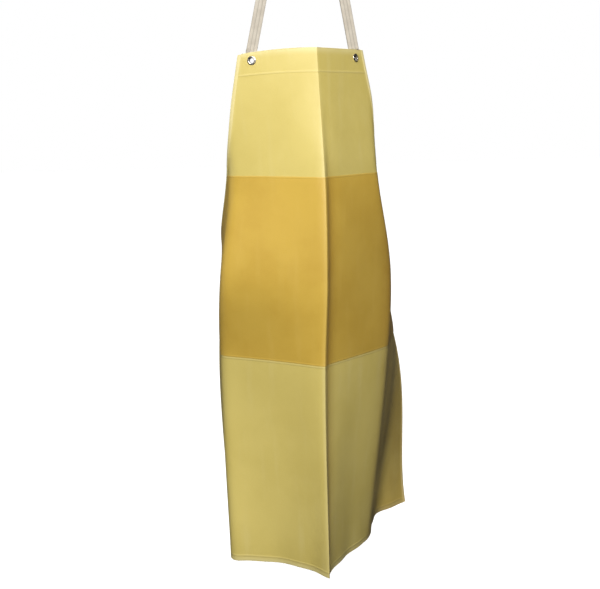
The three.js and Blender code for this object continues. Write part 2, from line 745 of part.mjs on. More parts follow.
const sliderCentre = onRise("right", SLIDER_HEIGHT);
const sliderFrame = new THREE.Matrix4().makeRotationY(-STRAP_LEAN).setPosition(sliderCentre);
add("strap_slider", strapSlider(), SLIDER_STEEL, sliderFrame);

export default apron;
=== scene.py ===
# %% [markdown]
# # A butcher's apron, as it hangs when it is worn
#
# The apron is one big sheet of coated cloth. A second layer is welded over the belly, the cut
# edges are bound with tape, metal eyelets take the strap and the ties, and a cotton webbing goes
# round the neck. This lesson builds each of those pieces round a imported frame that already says
# where everything is, so nothing has to be fitted by eye.

import json
import math

import bmesh
import bpy
import numpy as np
from mathutils import Matrix, Vector


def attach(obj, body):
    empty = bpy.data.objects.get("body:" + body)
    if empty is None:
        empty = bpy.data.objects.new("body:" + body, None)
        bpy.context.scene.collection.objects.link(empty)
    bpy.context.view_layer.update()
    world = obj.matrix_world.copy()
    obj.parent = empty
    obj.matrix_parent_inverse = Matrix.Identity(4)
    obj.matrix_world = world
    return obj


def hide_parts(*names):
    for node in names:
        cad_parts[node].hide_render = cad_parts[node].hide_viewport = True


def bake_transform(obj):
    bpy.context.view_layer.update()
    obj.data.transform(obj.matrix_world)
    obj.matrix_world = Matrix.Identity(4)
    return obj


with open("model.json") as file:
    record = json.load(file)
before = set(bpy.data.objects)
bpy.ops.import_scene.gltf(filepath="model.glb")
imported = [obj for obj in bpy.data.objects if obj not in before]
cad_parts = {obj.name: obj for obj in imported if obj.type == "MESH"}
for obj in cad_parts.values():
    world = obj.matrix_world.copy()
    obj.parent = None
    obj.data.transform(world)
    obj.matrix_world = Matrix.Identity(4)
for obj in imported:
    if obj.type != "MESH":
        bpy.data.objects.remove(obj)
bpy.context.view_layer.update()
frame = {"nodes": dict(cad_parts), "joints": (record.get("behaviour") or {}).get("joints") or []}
print("frame:", sorted(frame["nodes"]))

# %% [markdown]
# ## The camera
#
# The camera comes first, because everything else is judged through it. It stands a little to the
# left of the wearer, at chest height, and looks down by ten degrees. A long lens keeps the sides
# of the apron nearly upright.

# %% Camera
camera_data = bpy.data.cameras.new("studio_camera")
camera_data.lens = 63.96
camera_data.sensor_width = 36
camera_data.sensor_fit = "HORIZONTAL"
camera_data.shift_x = -0.043
camera = bpy.data.objects.new("studio_camera", camera_data)
camera.location = (-0.910, -2.4085, -0.370)
camera.rotation_euler = (math.radians(79.73), 0, math.radians(-23))
bpy.context.scene.collection.objects.link(camera)
bpy.context.scene.camera = camera
print("camera at", tuple(round(x, 3) for x in camera.location))

# %% [markdown]
# ## The cut sheet
#
# A sheet is settled flat before it is hung. These are the sizes that it was cut to, in
# millimetres: how long it is, how wide at each depth, and where the layers on it begin and end.

# %% Sizes of the cut, in millimetres
MM = 0.001
APRON_LENGTH = 1200
WAIST_DEPTH = 500
PATCH_TOP = 278
PATCH_BOTTOM = 703
TOP_HEM = 50
BOTTOM_HEM = 12
BINDING = 8
WAIST_PATCH = (55, 60)
EDGE_DEPTHS = (0, 90, 240, 380, 460, 500)
EDGE_HALF_WIDTHS = (178, 200, 242, 328, 428, 490)
SKIRT_HALF_WIDTH = 540


def through(xs, ys, x):
    """A smooth curve through the points, with each inner slope the mean of its neighbours'."""
    xs, ys, x = (np.asarray(v, float) for v in (xs, ys, x))
    chords = np.diff(ys) / np.diff(xs)
    slopes = np.concatenate([chords[:1], (chords[1:] + chords[:-1]) / 2, chords[-1:]])
    k = np.clip(np.searchsorted(xs, x) - 1, 0, len(xs) - 2)
    h = xs[k + 1] - xs[k]
    u = (x - xs[k]) / h
    start = ys[k] * (1 + 2 * u) * (1 - u) ** 2 + slopes[k] * h * u * (1 - u) ** 2
    return start + ys[k + 1] * u * u * (3 - 2 * u) + slopes[k + 1] * h * u * u * (u - 1)


def half_width(depth):
    if depth <= WAIST_DEPTH:
        return float(through(EDGE_DEPTHS, EDGE_HALF_WIDTHS, depth))
    share = (depth - WAIST_DEPTH) / (APRON_LENGTH - WAIST_DEPTH)
    return EDGE_HALF_WIDTHS[-1] + share * (SKIRT_HALF_WIDTH - EDGE_HALF_WIDTHS[-1])


# %% [markdown]
# ## How it hangs
#
# Coated cloth is stiff, so it doesn't fall in small folds. It breaks along one crease down the
# front and rounds the hips in wide bends. The hang is described by plan sections: at each depth,
# which way the cloth heads in front, at the side and behind. Following those headings in small
# steps gives a surface that never stretches the cloth.

# %% The plan sections
SECTION_DEPTHS = (0, 290, 515, 703, 1200)
CREASE_Y = (46, 3, -7, 4, -23)
HANG = {
    "left": {
        "sign": -1,
        "front": (32, 43, 39, 47, 48),
        "front_length": (206, 204, 228, 244, 239),
        "side": (100, 95, 110, 107, 108),
        "side_length": (133, 133, 133, 133, 163),
        "rear": (130, 130, 130, 108, 105),
        "flare": (0, 0, 0, 3, 29),
        "corner_lift": -15,
    },
    "right": {
        "sign": 1,
        "front": (32, 31, 33, 31, 44),
        "front_length": (193, 191, 257, 241, 223),
        "side": (90, 82, 77, 59, 60),
        "side_length": (113, 113, 115, 111, 99),
        "rear": (125, 130, 132, 71, 21),
        "flare": (0, 0, 0, 0, 11),
        "corner_lift": 1,
    },
}
SIDE_BEND = 44
REAR_BEND = 100


def smooth(x, start, end):
    u = np.clip((x - start) / (end - start), 0, 1)
    return u * u * (3 - 2 * u)


def heading(hang, depth, s):
    """Which way the cloth heads, in radians from the side towards the back, s from the crease."""
    stations = {name: values for name, values in hang.items() if isinstance(values, tuple)}
    at = {name: float(through(SECTION_DEPTHS, values, depth)) for name, values in stations.items()}
    front = at["front"] + at["flare"] * (1 - 2 * np.minimum(s / at["front_length"], 1))
    to_side = smooth(s, at["front_length"], at["front_length"] + SIDE_BEND)
    angle = front + (at["side"] - front) * to_side
    rear_start = at["front_length"] + SIDE_BEND + at["side_length"]
    angle = angle + (at["rear"] - at["side"]) * smooth(s, rear_start, rear_start + REAR_BEND)
    return np.radians(angle)


def plan_section(side, depth, distances):
    """Points and outward normals at these distances from the crease, before the origin moves."""
    hang = HANG[side]
    steps = np.linspace(0, max(distances) + 1, 260)
    middle = (steps[1:] + steps[:-1]) / 2
    angle = heading(hang, depth, middle)
    ds = np.diff(steps)
    x = np.concatenate([[0], np.cumsum(hang["sign"] * np.cos(angle) * ds)])
    y = np.concatenate([[0], np.cumsum(np.sin(angle) * ds)])
    y += float(through(SECTION_DEPTHS, CREASE_Y, depth))
    lift = hang["corner_lift"] * (distances / EDGE_HALF_WIDTHS[0]) ** 2 * math.exp(-depth / 120)
    across, back = np.interp(distances, steps, x), np.interp(distances, steps, y)
    points = np.stack([across, back, -depth + lift], 1)
    angle = heading(hang, depth, distances)
    normals = np.stack([hang["sign"] * np.sin(angle), -np.cos(angle), 0 * angle], 1)
    return points, normals


EYELET = {"from_crease": 148, "from_top": 18}
STRAP_BEHIND = 0.5 + 2 * 0.3 + 0.6 + (2 * 1.6 + 0.4) / 2
top_point, top_normal = plan_section("right", 0, np.array([EYELET["from_crease"], 170.0]))
strap_plane = top_point[0][1] - top_normal[0][1] * STRAP_BEHIND
ORIGIN = np.array([0, -strap_plane - 138 + 0.8, -255])
print("the frame's origin is", np.round(-ORIGIN, 1), "from the crease at the top edge")

# %% [markdown]
# ## The live surface of the cloth
#
# On top of the plain hang, real coated cloth has small movement. The crease is pinched: the left
# panel rolls over it and the right panel turns sharply away, which is why one side of the crease
# catches the light and the other falls dark. Broad shallow waves run down the panels, the hem
# ripples, and the cloth puckers round a clamped eyelet. All of it fades out at the eyelets, so
# the metal still sits flat.

# %% The cloth's own movement
WAIST_EYELET = {"depth": 530, "from_edge": 32}


def eyelet_distance(side, depth, s):
    waist_s = half_width(WAIST_EYELET["depth"]) - WAIST_EYELET["from_edge"]
    top = np.hypot(s - EYELET["from_crease"], depth - EYELET["from_top"])
    waist = np.hypot(s - waist_s, depth - WAIST_EYELET["depth"])
    return np.minimum(top, waist)


def movement(side, depth, s):
    """How far the cloth stands off its plain hang, in millimetres outwards."""
    pinch = 0.12 + 0.88 * smooth(depth, 60, 340)
    if side == "left":
        ridge = 2.4 * pinch * (s / 18) * np.exp(1 - s / 18)
        wave = 0.9 * np.sin(s / 37 + depth / 240 + 0.4) * np.sin(depth / 160 + 0.8)
        wave += 0.4 * np.sin(s / 19 - depth / 330 + 1.9) * smooth(depth, 500, 1000)
    else:
        ridge = -7.5 * pinch * (1 - np.exp(-((s / 15) ** 2))) * np.exp(-s / 85)
        wave = 0.8 * np.sin(s / 33 - depth / 260 + 2.1) * np.sin(depth / 190 + 0.3)
        wave += 0.5 * np.sin(s / 23 + depth / 210 + 0.7) * smooth(depth, 450, 900)
    ripple = 1.6 * np.sin(s / 15 + 1.3) * np.exp(-(APRON_LENGTH - depth) / 60)
    band = 0.9 * np.exp(-((depth - PATCH_TOP) / 16) ** 2)
    band += 1.1 * np.exp(-((depth - PATCH_BOTTOM) / 16) ** 2)
    settle = smooth(s, 4, 60)
    near = eyelet_distance(side, depth, s)
    pucker = 0.55 * np.sin(near / 4.2) * np.exp(-near / 26)
    calm = 1 - np.exp(-(near / 24) ** 2)
    return (ridge + (wave + ripple + pucker) * settle - 0.4 * band * settle) * calm


def crease_softness(depth, s):
    """How far the crease is rounded off, in millimetres backwards: only the bib's is soft."""
    return (1.2 + 3.8 * (1 - smooth(depth, 90, 330))) * np.exp(-s / 34)


# %% [markdown]
# ## One shared net of points
#
# Every layer is cut from the same net of rows and columns, offset outwards or inwards. That keeps
# the layers parallel, so none shows through another, and it gives them all one flat map in metres
# for their weave.

# %% The net
HEM_TOP = APRON_LENGTH - BOTTOM_HEM
BORDERS = (0, TOP_HEM, PATCH_TOP, WAIST_DEPTH, 560, PATCH_BOTTOM, HEM_TOP, APRON_LENGTH)
ROWS = [0.0]
for start, end in zip(BORDERS, BORDERS[1:]):
    count = max(3, round((end - start) / 8.5))
    shares = np.linspace(0, 1, count + 1)[1:]
    inner = [start + (end - start) * u for u in shares[:-1]]
    ROWS += [start + 1.2] + inner + [end - 1.2, end]
ROWS = sorted(set(round(r, 3) for r in ROWS))
NEAR_CREASE = (0, 2, 4, 6.5, 9.5, 13, 17, 22, 28, 35, 43, 52)
EDGE_INSETS = (8.9, BINDING, 1.0, 0.0)
OPEN_COLUMNS = 46


def columns(width):
    last_open = width - EDGE_INSETS[0] - WAIST_PATCH[0]
    spread = np.linspace(NEAR_CREASE[-1], last_open, OPEN_COLUMNS)[1:]
    patch = last_open + WAIST_PATCH[0] * np.linspace(0, 1, 8)[1:-1]
    return np.concatenate([NEAR_CREASE, spread, patch, width - np.array(EDGE_INSETS)])


def side_rows(side):
    points, normals, spans = [], [], []
    for depth in ROWS:
        s = columns(half_width(depth))
        p, n = plan_section(side, depth, s)
        moved = p + n * movement(side, depth, s)[:, None] + ORIGIN
        moved[:, 1] += crease_softness(depth, s)
        points.append(moved)
        spans.append(s * HANG[side]["sign"])
    return np.array(points), np.array(spans)


left_points, left_spans = side_rows("left")
right_points, right_spans = side_rows("right")
NET = np.concatenate([left_points[:, :0:-1], right_points], 1) * MM
SPANS = np.concatenate([left_spans[:, :0:-1], right_spans], 1) * MM
down = np.gradient(NET, axis=0)
across = np.gradient(NET, axis=1)
NORMALS = np.cross(across, -down)
NORMALS /= np.linalg.norm(NORMALS, axis=2, keepdims=True)
LAST = NET.shape[1] - 1
INNER = len(EDGE_INSETS) - 1
print("net:", NET.shape[0], "rows,", NET.shape[1], "columns")
print("outward y in the middle of the net:", round(float(NORMALS[40, 60, 1]), 2))


def row_of(depth):
    return min(range(len(ROWS)), key=lambda r: abs(ROWS[r] - depth))


def on_cloth(side, depth, s, n=0.0):
    """A point on the cloth in metres, with its outward normal."""
    r = min(max(int(np.searchsorted(ROWS, depth)) - 1, 0), len(ROWS) - 2)
    u = (depth - ROWS[r]) / (ROWS[r + 1] - ROWS[r])
    signed = s * HANG[side]["sign"] * MM
    at = [
        [np.interp(signed, SPANS[k], a[k][:, i]) for i in range(3)]
        for a in (NET, NORMALS)
        for k in (r, r + 1)
    ]
    point = np.array(at[0]) * (1 - u) + np.array(at[1]) * u
    normal = np.array(at[2]) * (1 - u) + np.array(at[3]) * u
    normal /= np.linalg.norm(normal)
    return Vector(point + normal * n * MM), Vector(normal)


# %% [markdown]
# ## Turning points into a mesh
#
# Sheets are soft goods, so their meshes are made straight from the net. The helper below makes
# the object, gives it its flat map in metres and a second value, the distance to the cut edge,
# that the materials use to place wear.

# %% Mesh helpers
def mesh_piece(name, vertices, faces, flat_map, edge_distance=None):
    mesh = bpy.data.meshes.new(name)
    mesh.from_pydata([tuple(v) for v in vertices], [], [tuple(f) for f in faces])
    uv = mesh.uv_layers.new(name="flat")
    corner = np.zeros(len(mesh.loops), np.int32)
    mesh.loops.foreach_get("vertex_index", corner)
    uv.data.foreach_set("uv", np.asarray(flat_map, np.float32)[corner].ravel())
    if edge_distance is not None:
        values = mesh.attributes.new("to_edge", "FLOAT", "POINT")
        values.data.foreach_set("value", np.asarray(edge_distance, np.float32).ravel())
    piece = bpy.data.objects.new(name, mesh)
    bpy.context.scene.collection.objects.link(piece)
    return piece


def only(piece):
    """Select and activate this piece and nothing else."""
    if bpy.context.object and bpy.context.object.mode != "OBJECT":
        bpy.ops.object.mode_set(mode="OBJECT")
    bpy.ops.object.select_all(action="DESELECT")
    piece.select_set(True)
    bpy.context.view_layer.objects.active = piece


def soften(piece, degrees=40):
    only(piece)
    bpy.ops.object.shade_smooth_by_angle(angle=math.radians(degrees))


def grid_faces(rows, cols, start=0, turned=False):
    r, c = np.meshgrid(np.arange(rows - 1), np.arange(cols - 1), indexing="ij")
    a = (start + r * cols + c).ravel()
    quads = np.stack([a, a + cols, a + cols + 1, a + 1], 1)
    return quads[:, ::-1] if turned else quads


def layer(name, rows, cols, outer, inner):
    """A closed layer of the net between two offsets in millimetres, with eased borders."""
    r, c = np.arange(rows[0], rows[1] + 1), np.arange(cols[0], cols[1] + 1)
    base, out = NET[np.ix_(r, c)], NORMALS[np.ix_(r, c)]
    ease = np.ones((len(r), len(c)))
    ease[[0, -1], :] = 0.55
    ease[:, [0, -1]] = 0.55
    middle, half = (outer + inner) / 2, (outer - inner) / 2
    front = base + out * (middle + half * ease)[..., None] * MM
    back = base + out * (middle - half * ease)[..., None] * MM
    size = len(r) * len(c)
    vertices = np.concatenate([front.reshape(-1, 3), back.reshape(-1, 3)])
    rim = [k for k in range(len(c))]
    rim += [k * len(c) + len(c) - 1 for k in range(1, len(r))]
    rim += [size - 1 - k for k in range(1, len(c))]
    rim += [size - len(c) - k * len(c) for k in range(1, len(r) - 1)]
    walls = [(a, b, b + size, a + size) for a, b in zip(rim, rim[1:] + rim[:1])]
    faces = [*grid_faces(len(r), len(c)), *grid_faces(len(r), len(c), size, True), *walls]
    spans = SPANS[np.ix_(r, c)]
    fall = -np.array(ROWS)[r][:, None] * MM + 0 * spans
    to_top_or_hem = np.minimum(-fall, APRON_LENGTH * MM + fall)
    to_edge = np.minimum(abs(SPANS[r][:, [LAST]]) - abs(spans), to_top_or_hem)
    flat = np.tile(np.stack([spans, fall], 2).reshape(-1, 2), (2, 1))
    return mesh_piece(name, vertices, faces, flat, np.tile(to_edge.ravel(), 2))


# %% [markdown]
# ## The main sheet
#
# The sheet is one millimetre thick and closed all round. Its holes are cut with cylinders that
# stand square to the cloth, by a Boolean modifier that is applied straight away. The same
# cylinders cut every other layer at that place, so the holes line up.

# %% Eyelet places and hole cutters
def eyelet_frame(side, depth, s):
    """X across the cloth, Z outwards, with the origin in the middle of the sheet."""
    centre, out = on_cloth(side, depth, s)
    up = (on_cloth(side, depth - 8, s)[0] - on_cloth(side, depth + 8, s)[0]).normalized()
    x = up.cross(out).normalized()
    y = out.cross(x)
    turn = Matrix((x, y, out)).transposed().to_4x4()
    return Matrix.Translation(centre) @ turn


waist_s = half_width(WAIST_EYELET["depth"]) - WAIST_EYELET["from_edge"]
EYELET_FRAMES = {}
for side in ("left", "right"):
    EYELET_FRAMES["bib", side] = eyelet_frame(side, EYELET["from_top"], EYELET["from_crease"])
    EYELET_FRAMES["waist", side] = eyelet_frame(side, WAIST_EYELET["depth"], waist_s)


def hole_cutter(place, side):
    bpy.ops.object.select_all(action="DESELECT")
    bpy.ops.mesh.primitive_cylinder_add(vertices=40, radius=6.35 * MM, depth=36 * MM)
    cutter = bpy.context.object
    cutter.name = f"hole_cutter_{place}_{side}"
    cutter.matrix_world = EYELET_FRAMES[place, side]
    return cutter


CUTTERS = {key: hole_cutter(*key) for key in EYELET_FRAMES}
for key, place in EYELET_FRAMES.items():
    print(key, "eyelet at", tuple(round(x, 4) for x in place.translation))


def cut_holes(piece, *places):
    only(piece)
    for place in places:
        hole = piece.modifiers.new("eyelet_hole", "BOOLEAN")
        hole.operation = "DIFFERENCE"
        hole.solver = "EXACT"
        hole.object = CUTTERS[place]
        bpy.ops.object.modifier_apply(modifier=hole.name)


# %% The sheet itself
BIB = [("bib", "left"), ("bib", "right")]
WAIST = [("waist", "left"), ("waist", "right")]
sheet = layer("coated_sheet", (0, len(ROWS) - 1), (1, LAST - 1), 0.5, -0.5)
cut_holes(sheet, *BIB, *WAIST)
soften(sheet)
print("sheet:", len(sheet.data.polygons), "faces")

# %% [markdown]
# ## The layers on the sheet
#
# The belly band is a second sheet laid over the front, where blood and fat land. Behind the top
# edge a deep facing stiffens the bib, a narrow hem closes the bottom, and a small square backs
# each waist eyelet. They all follow the net a fraction of a millimetre off the sheet.

# %% Belly band, facings and backing squares
BETWEEN_TAPES = (INNER, LAST - INNER)
band = layer("belly_band", (row_of(PATCH_TOP), row_of(PATCH_BOTTOM)), BETWEEN_TAPES, 1.25, 0.55)
cut_holes(band, *WAIST)
soften(band)
facing = layer("top_facing_layer", (row_of(1.2), row_of(TOP_HEM)), BETWEEN_TAPES, -0.55, -1.2)
cut_holes(facing, *BIB)
soften(facing)
hem_rows = (row_of(HEM_TOP), row_of(APRON_LENGTH - 1.2))
hem = layer("bottom_hem_layer", hem_rows, BETWEEN_TAPES, -0.55, -1.2)
soften(hem)
backings = {}
for side in ("left", "right"):
    wide = len(np.linspace(0, 1, 8)) - 1
    cols = (INNER, INNER + wide) if side == "left" else (LAST - INNER - wide, LAST - INNER)
    backing = layer(f"waist_backing_{side}", (row_of(WAIST_DEPTH), row_of(560)), cols, -0.55, -1.2)
    cut_holes(backing, ("waist", side))
    soften(backing)
    backings[side] = backing
print("band:", len(band.data.polygons), "faces")


# %% [markdown]
# ## Folded edges and bindings
#
# A cut edge of coated cloth is never left raw. Along the top and bottom the cloth is folded over
# and welded, and down the sides a tape is folded round it. Both are a small rounded section
# carried along an edge, so one helper sweeps closed rings of points.

# %% Sweeping a section along an edge
def swept(name, rings, maps, closed_ends=True):
    rings = np.array(rings)
    count, size = rings.shape[:2]
    faces = []
    for r in range(count - 1):
        for i in range(size):
            j = (i + 1) % size
            faces.append((r * size + i, r * size + j, (r + 1) * size + j, (r + 1) * size + i))
    if closed_ends:
        faces.append(tuple(range(size))[::-1])
        faces.append(tuple((count - 1) * size + i for i in range(size)))
    piece = mesh_piece(name, rings.reshape(-1, 3), faces, np.array(maps).reshape(-1, 2))
    only(piece)
    bpy.ops.object.mode_set(mode="EDIT")
    bpy.ops.mesh.select_all(action="SELECT")
    bpy.ops.mesh.normals_make_consistent(inside=False)
    bpy.ops.object.mode_set(mode="OBJECT")
    soften(piece, 50)
    return piece


TAPE = [(0, 0.54), (0, 1.0), (0.4, 1.16), (4, 1.22), (6.8, 1.2), (7.6, 1.0)]
TAPE += [(8.05, 0.5), (8.2, 0), (8.05, -0.5)]
TAPE += [(7.6, -1.0), (6.8, -1.2), (4, -1.22), (0.4, -1.16), (0, -1.0), (0, -0.54)]
TAPE += [(7.06, -0.54), (7.2, 0), (7.06, 0.54)]


def edge_tape(side):
    outer, start = (0, 2) if side == "left" else (LAST, LAST - 2)
    rings, maps = [], []
    for r in range(len(ROWS)):
        base, out = NET[r, start], NORMALS[r, start]
        along = (NET[r, outer] - base) / BINDING
        rings.append([base + along * a + out * n * MM for a, n in TAPE])
        maps.append([(SPANS[r, start] + a * MM, -ROWS[r] * MM) for a, n in TAPE])
    return swept(f"edge_tape_{side}", rings, maps)


tapes = {side: edge_tape(side) for side in ("left", "right")}

FOLD = [(0.0, 0.62), (0.5, 0.66), (1.05, 0.4), (1.3, -0.05)]
FOLD += [(1.35, -0.5), (1.1, -0.95), (0.6, -1.22), (0.0, -1.25)]
FOLD += [(0.05, -0.56), (0.1, -0.5), (0.1, 0.5), (0.05, 0.56)]


def fold_line(name, edge_row, towards):
    """The rounded fold of the cloth over its top or bottom edge."""
    rings, maps = [], []
    for c in range(2, LAST - 1):
        base, out = NET[edge_row, c], NORMALS[edge_row, c]
        away = base - NET[edge_row + towards, c]
        away /= np.linalg.norm(away)
        rings.append([base + (away * a + out * n) * MM for a, n in FOLD])
        maps.append([(SPANS[edge_row, c], -ROWS[edge_row] * MM) for a, n in FOLD])
    return swept(name, rings, maps)


top_fold = fold_line("top_fold", 0, 1)
bottom_fold = fold_line("bottom_fold", len(ROWS) - 1, -1)
print("tape:", len(tapes["left"].data.polygons), "faces")

# %% [markdown]
# ## Eyelets
#
# An eyelet is turned metal: a domed flange in front, a barrel through the layers, and an end that
# is rolled out over a washer. It is made as a turner would, from a circle that is extruded and
# widened ring by ring along the profile, and closed by bridging the last ring to the first.

# %% Turning a profile
def turned_ring(name, profile, place, steps=56):
    bpy.ops.object.select_all(action="DESELECT")
    radius, height = profile[0]
    start = (0, 0, height * MM)
    bpy.ops.mesh.primitive_circle_add(vertices=steps, radius=radius * MM, location=start)
    ring = bpy.context.object
    ring.name = name
    bpy.ops.object.transform_apply(location=True)
    bpy.ops.object.mode_set(mode="EDIT")
    bpy.ops.mesh.select_all(action="SELECT")
    for (r0, z0), (r1, z1) in zip(profile, profile[1:]):
        bpy.ops.mesh.extrude_edges_move(TRANSFORM_OT_translate={"value": (0, 0, (z1 - z0) * MM)})
        bpy.ops.transform.resize(value=(r1 / r0, r1 / r0, 1), center_override=(0, 0, z1 * MM))
    bpy.ops.mesh.select_all(action="DESELECT")
    bpy.ops.object.mode_set(mode="OBJECT")
    rims = [e for e in ring.data.edges]
    count = len(ring.data.vertices)
    for e in rims:
        low = all(v < steps for v in e.vertices)
        high = all(v >= count - steps for v in e.vertices)
        e.select = low or high
    bpy.ops.object.mode_set(mode="EDIT")
    bpy.ops.mesh.select_mode(type="EDGE")
    bpy.ops.mesh.bridge_edge_loops()
    bpy.ops.mesh.select_all(action="SELECT")
    bpy.ops.mesh.remove_doubles(threshold=1e-7)
    bpy.ops.mesh.normals_make_consistent(inside=False)
    bpy.ops.object.mode_set(mode="OBJECT")
    ring.matrix_world = place
    bpy.ops.object.transform_apply(location=True, rotation=True, scale=True)
    soften(ring, 50)
    return ring


def eyelet_profile(seat, washer):
    """Radius and height of the eyelet: its bore, over the flange and back to the roll."""
    front = [(5.5, seat - 0.3), (5.6, seat + 0.35), (6.05, seat + 0.85), (6.8, seat + 1.15)]
    front += [(7.7, seat + 1.18), (8.7, seat + 1.0), (9.5, seat + 0.65), (9.95, seat + 0.3)]
    front += [(10, seat + 0.05), (9.7, seat)]
    barrel = [(6.2, seat), (6.2, washer)]
    roll = [(8.0, washer), (8.35, washer - 0.3), (8.2, washer - 0.75)]
    roll += [(7.5, washer - 1.0), (6.5, washer - 1.02)]
    return front + barrel + roll + [(5.8, washer - 0.8), (5.5, washer - 0.3)]


def washer_profile(washer):
    inner = [(6.5, washer), (6.5, washer + 0.7), (7, washer + 0.8)]
    return inner + [(10, washer + 0.75), (10.5, washer + 0.4), (10.4, washer)]


SEATS = {"bib": (0.55, -6.1), "waist": (1.35, -2.1)}
eyelets, washers = {}, {}
for (place, side), where in EYELET_FRAMES.items():
    seat, stack = SEATS[place]
    ring = eyelet_profile(seat, stack)
    eyelets[place, side] = turned_ring(f"{place}_eyelet_{side}_metal", ring, where)
    ring = washer_profile(stack)
    washers[place, side] = turned_ring(f"{place}_washer_{side}_metal", ring, where, 48)
print("eyelet:", len(eyelets["bib", "left"].data.polygons), "faces")

# %% [markdown]
# ## The neck webbing
#
# The strap is one length of cotton webbing. On the left its end is folded under and clamped by
# the eyelet. It rises, goes behind the neck, comes down on the right, turns just above a loop
# there and doubles back up to its end. On a real apron the turn is threaded through that loop.
# Here it only stands over it, so this junction is a simplified one. Webbing isn't a round cord:
# it has a width, two selvedges and ribs, so its own cross-section is swept along the route, and
# a facing direction at each point says which way its broad side looks.

# %% The route
STRAP_LEAN_DEGREES = 12
STRAP_LEAN = math.tan(math.radians(STRAP_LEAN_DEGREES))
WEBBING = {"width": 25, "thickness": 1.6}


def strap_root(side):
    """The middle of the webbing at the top edge, in millimetres."""
    hang = HANG[side]
    p, n = plan_section(side, 0, np.array([EYELET["from_crease"], 170.0]))
    return p[0] - n[0] * STRAP_BEHIND + ORIGIN


def on_rise(side, height, behind=0.0):
    root = strap_root(side)
    leaned = root[0] - np.sign(root[0]) * height * STRAP_LEAN
    return np.array([leaned, root[1] + behind, root[2] + height])


def in_eyelet_frame(side, n, up):
    place = EYELET_FRAMES["bib", side]
    return np.array(place @ Vector((0, up * MM, n * MM))) / MM


def eyelet_direction(side, n, up):
    return np.array(EYELET_FRAMES["bib", side].to_3x3() @ Vector((0, up, n)))


def beside_eyelet(side, n, faces, heights):
    """A straight run behind a bib eyelet: its points, n off the sheet, and the way it faces."""
    return [(in_eyelet_frame(side, n, u), eyelet_direction(side, faces, 0)) for u in heights]


NECK_LOOP = (
    ((73, 9, 22), (0.15, -0.85, 0.5)),
    ((71, 30, 36), (0.45, -0.35, 0.8)),
    ((69, 64, 43), (0.86, 0.05, 0.5)),
    ((57, 101, 43), (0.85, 0.45, 0.3)),
    ((31, 128, 43), (0.5, 0.85, 0.12)),
)
FRONT = (0, -1, 0)
RISE = (7, 70.7, 141.3, 182, 204)


def strap_route():
    """Points in millimetres and facing directions, from the clamped end to the free end."""
    route = beside_eyelet("left", -4.6, -1, (15, 4, -10, -22))
    for turn in (30, 90, 150):
        a = math.radians(turn)
        n, up = -3.55 - 1.05 * math.cos(a), -23.6 - 1.05 * math.sin(a)
        faces = eyelet_direction("left", -math.cos(a), -math.sin(a))
        route.append((in_eyelet_frame("left", n, up), faces))
    route += beside_eyelet("left", -2.55, 1, (-22, -10, 4, 14))
    route += [(on_rise("left", h), FRONT) for h in RISE]
    top = on_rise("right", 212)
    mirrored = lambda v, sign: np.array([sign * v[0], v[1], v[2]])
    behind_neck = np.array([0, top[1], top[2]])
    route += [(behind_neck + mirrored(at, -1), mirrored(faces, -1)) for at, faces in NECK_LOOP]
    route.append((np.array([0, 0.8, 0]), (0, 1, 0)))
    for at, faces in reversed(NECK_LOOP):
        route.append((behind_neck + mirrored(at, 1), mirrored(faces, 1)))
    route += [(on_rise("right", h), FRONT) for h in reversed(RISE)]
    for turn in (20, 90, 160):
        a = math.radians(turn)
        place = on_rise("right", 2.6 - 1.0 * math.sin(a), 0.98 - 0.98 * math.cos(a))
        route.append((place, (0, -math.cos(a), -math.sin(a))))
    route += [(on_rise("right", h, 1.96), (0, 1, 0)) for h in (7, 45, 95, 140, 170, 188)]
    return [np.array(p, float) for p, f in route], [np.array(f, float) for p, f in route]


def smooth_route(points, spacing=2.6):
    """A centripetal curve through the points, at a share of its knots for every sample."""
    ends = [2 * points[0] - points[1], *points, 2 * points[-1] - points[-2]]
    samples, shares = [], []
    for k in range(len(points) - 1):
        p0, p1, p2, p3 = ends[k : k + 4]
        d = [max(np.linalg.norm(b - a), 1e-3) ** 0.5 for a, b in ((p0, p1), (p1, p2), (p2, p3))]
        t1 = ((p1 - p0) / d[0] - (p2 - p0) / (d[0] + d[1]) + (p2 - p1) / d[1]) * d[1]
        t2 = ((p2 - p1) / d[1] - (p3 - p1) / (d[1] + d[2]) + (p3 - p2) / d[2]) * d[1]
        count = max(3, math.ceil(np.linalg.norm(p2 - p1) / spacing))
        for u in np.arange(count) / count:
            square, cube = 3 * (p2 - p1) - 2 * t1 - t2, 2 * (p1 - p2) + t1 + t2
            samples.append(p1 + t1 * u + square * u**2 + cube * u**3)
            shares.append(k + u)
    return np.array(samples + [points[-1]]), np.array(shares + [len(points) - 1.0])


# %% The webbing's section and sweep
RIB_PITCH = 8.1
YARN_PITCH = 2.0


def webbing_section():
    """Offsets across and off the middle: two rounded selvedges and a ribbed face each side."""
    half = WEBBING["width"] / 2
    ribbed = np.linspace(-half + 0.9, half - 0.9, 25)
    across = np.concatenate([[-half, -half + 0.35], ribbed, [half - 0.35, half]])
    lift = 0.66 + 0.13 * np.cos(across * 2 * math.pi / RIB_PITCH)
    lift += 0.03 * np.cos(across * 2 * math.pi / YARN_PITCH)
    lift[[0, -1]], lift[[1, -2]] = 0.28, 0.6
    upper = list(zip(across, lift))
    lower = [(a, -l) for a, l in reversed(upper)]
    return upper + lower


